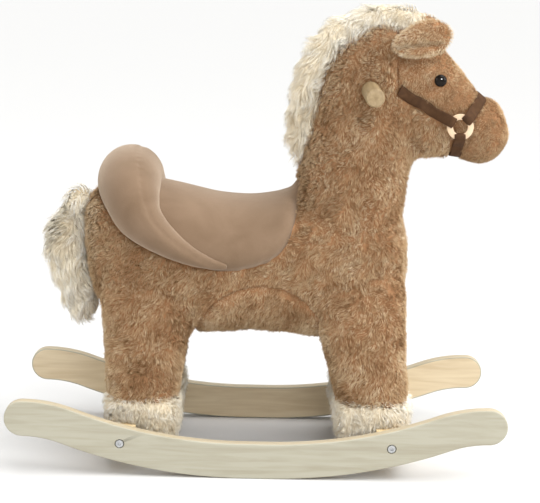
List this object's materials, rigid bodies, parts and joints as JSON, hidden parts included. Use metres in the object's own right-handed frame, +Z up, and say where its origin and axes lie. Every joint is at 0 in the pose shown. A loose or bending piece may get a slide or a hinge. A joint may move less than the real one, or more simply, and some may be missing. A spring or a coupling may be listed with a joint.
{
  "type": "plush rocking horse",
  "caption": "Stuffed plush horse with a padded saddle, bridle and through handle, standing on curved plywood rockers that roll on the floor.",
  "frame": {"origin": "on the floor under the middle of the object, midway between the two rockers", "axes": "+X towards the horse's head, along the rockers; +Z up; +Y towards the horse's left"},
  "size_m": [0.682, 0.28, 0.6364],
  "materials": {
    "plywood": "pale birch plywood, sanded and sealed, plies showing on the edges",
    "timber": "plain pale softwood and beech, sanded",
    "plush": "short dense brown plush, about 10 mm pile",
    "cream": "long cream pile, about 25 to 40 mm",
    "stuffing": "white polyester fibre",
    "suede": "taupe suede-like cloth over a thin pad",
    "webbing": "dark brown suede-like strap",
    "hide": "pale tan ring, matt",
    "eye": "glossy black",
    "steel": "zinc plated"
  },
  "bodies": {
    "horse": {"rocker_right": "plywood", "neck_brace_right": "timber", "eye_right": "eye", "bridle_ring_right": "hide", "cheek_strap_right": "webbing", "rocker_left": "plywood", "neck_brace_left": "timber", "eye_left": "eye", "bridle_ring_left": "hide", "cheek_strap_left": "webbing", "cross_rail_front": "timber", "cross_rail_rear": "timber", "rocker_bolt_front_right": "steel", "barrel_nut_front_right": "steel", "post_screw_front_right": "steel", "leg_post_front_right": "timber", "leg_stuffing_front_right": "stuffing", "leg_cover_front_right": "plush", "hoof_cuff_front_right": "cream", "rocker_bolt_front_left": "steel", "barrel_nut_front_left": "steel", "post_screw_front_left": "steel", "leg_post_front_left": "timber", "leg_stuffing_front_left": "stuffing", "leg_cover_front_left": "plush", "hoof_cuff_front_left": "cream", "rocker_bolt_rear_right": "steel", "barrel_nut_rear_right": "steel", "post_screw_rear_right": "steel", "leg_post_rear_right": "timber", "leg_stuffing_rear_right": "stuffing", "leg_cover_rear_right": "plush", "hoof_cuff_rear_right": "cream", "rocker_bolt_rear_left": "steel", "barrel_nut_rear_left": "steel", "post_screw_rear_left": "steel", "leg_post_rear_left": "timber", "leg_stuffing_rear_left": "stuffing", "leg_cover_rear_left": "plush", "hoof_cuff_rear_left": "cream", "body_board": "plywood", "neck_board": "plywood", "handle_bar": "timber", "torso_cover": "plush", "belly_panel": "plush", "torso_stuffing": "stuffing", "neck_cover": "plush", "neck_stuffing": "stuffing", "head_cover": "plush", "head_stuffing": "stuffing", "muzzle_cover": "plush", "mane": "cream", "saddle_seat": "suede", "saddle_roll": "suede", "nose_strap": "webbing", "chin_strap": "webbing"},
    "tail": {"tail": "cream"},
    "ear_right": {"ear_right": "plush"},
    "ear_left": {"ear_left": "plush"}
  },
  "joints": [
    {"name": "tail_swing", "type": "hinge", "parent": "horse", "child": "tail", "pos_m": [-0.25, 0, 0.357], "axis": [0, 1, 0], "range_deg": [0, 70]},
    {"name": "ear_right_flap", "type": "hinge", "parent": "horse", "child": "ear_right", "pos_m": [0.174, -0.052, 0.581], "axis": [0, 0, -1], "range_deg": [0, 40], "stiffness_Nm_per_rad": 0.05},
    {"name": "ear_left_flap", "type": "hinge", "parent": "horse", "child": "ear_left", "pos_m": [0.174, 0.052, 0.581], "axis": [0, 0, 1], "range_deg": [0, 40], "stiffness_Nm_per_rad": 0.05}
  ]
}
